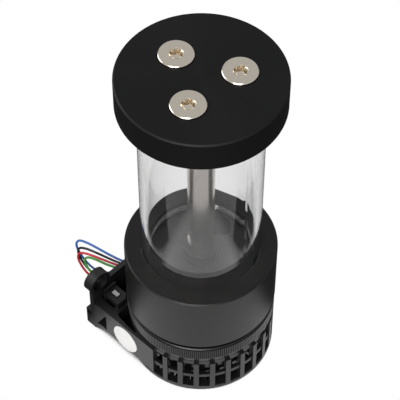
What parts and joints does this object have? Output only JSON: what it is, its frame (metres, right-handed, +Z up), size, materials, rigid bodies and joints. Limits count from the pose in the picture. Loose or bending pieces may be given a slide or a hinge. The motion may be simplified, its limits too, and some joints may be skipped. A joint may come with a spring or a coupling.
{
  "type": "coolant pump reservoir",
  "caption": "Tubular coolant tank on a pump: round cap with flush port plugs, clear tube, centre tube, pump top with a side outlet, knurled clamp ring and a caged bracket with an arm and trailing wires.",
  "frame": {"origin": "on the pump's and tank's common axis, at the rest face under the bracket's cage", "axes": "+Z up along the tank's axis; the bracket's arm reaches to -X and its front wall, with the round disc, faces -Y"},
  "size_m": [0.1189, 0.1023, 0.2028],
  "materials": {
    "cap_black": "turned, satin",
    "top_black": "turned, satin",
    "ring_black": "black anodised, knurled",
    "plug_nickel": "nickel plated, fine turned",
    "tube_metal": "satin anodised",
    "tank_glass": "clear, polished",
    "seal_rubber": "moulded",
    "bracket_black": "moulded, fine grain",
    "disc_white": "smooth",
    "bright_steel": "plain",
    "ball_ceramic": "polished ceramic",
    "rotor_dark": "moulded",
    "magnet_ferrite": "ground ferrite",
    "impeller_black": "moulded",
    "core_iron": "laminated",
    "coil_copper": "enamelled wire",
    "housing_black": "moulded",
    "board_green": "solder mask",
    "chip_dark": "moulded",
    "wire_blue": "smooth insulation",
    "wire_black": "smooth insulation",
    "wire_red": "smooth insulation",
    "wire_green": "smooth insulation",
    "plug_black": "moulded"
  },
  "bodies": {
    "root": {"glass_tube": "tank_glass", "centre_tube": "tube_metal", "tank_seal": "seal_rubber", "pump_top": "top_black", "pump_seal": "seal_rubber", "separator": "bright_steel", "bearing_ball": "ball_ceramic", "stator_core": "core_iron", "stator_coils": "coil_copper", "motor_housing": "housing_black", "circuit_board": "board_green", "board_parts": "chip_dark", "pump_bracket": "bracket_black", "cage_screws": "bright_steel", "badge": "disc_white", "captive_nuts": "bright_steel", "lead_grommet": "seal_rubber", "inner_leads": "wire_black", "lead_blue": "wire_blue", "lead_black": "wire_black", "lead_red": "wire_red", "lead_green": "wire_green", "lead_coil": "wire_black", "coil_ties": "seal_rubber", "lead_plug": "plug_black", "plug_contacts": "plug_nickel"},
    "cap": {"top_cap": "cap_black", "cap_seal": "seal_rubber"},
    "plug_1": {"port_plug_1": "plug_nickel", "plug_seal_1": "seal_rubber"},
    "plug_2": {"port_plug_2": "plug_nickel", "plug_seal_2": "seal_rubber"},
    "plug_3": {"port_plug_3": "plug_nickel", "plug_seal_3": "seal_rubber"},
    "clamp_ring": {"clamp_ring": "ring_black"},
    "rotor": {"rotor": "rotor_dark", "rotor_magnet": "magnet_ferrite", "impeller": "impeller_black"}
  },
  "joints": [
    {"name": "cap_lift", "type": "slide", "parent": "root", "child": "cap", "axis": [0, 0, 1], "range_m": [0, 0.03]},
    {"name": "plug_1_lift", "type": "slide", "parent": "cap", "child": "plug_1", "axis": [0, 0, 1], "range_m": [0, 0.012]},
    {"name": "plug_2_lift", "type": "slide", "parent": "cap", "child": "plug_2", "axis": [0, 0, 1], "range_m": [0, 0.012]},
    {"name": "plug_3_lift", "type": "slide", "parent": "cap", "child": "plug_3", "axis": [0, 0, 1], "range_m": [0, 0.012]},
    {"name": "clamp_ring_turn", "type": "hinge", "parent": "root", "child": "clamp_ring", "pos_m": [0, 0, 0.0315], "axis": [0, 0, 1], "range_deg": [0, 360]},
    {"name": "rotor_spin", "type": "hinge", "parent": "root", "child": "rotor", "pos_m": [0, 0, 0.04255], "axis": [0, 0, 1], "continuous": true}
  ]
}
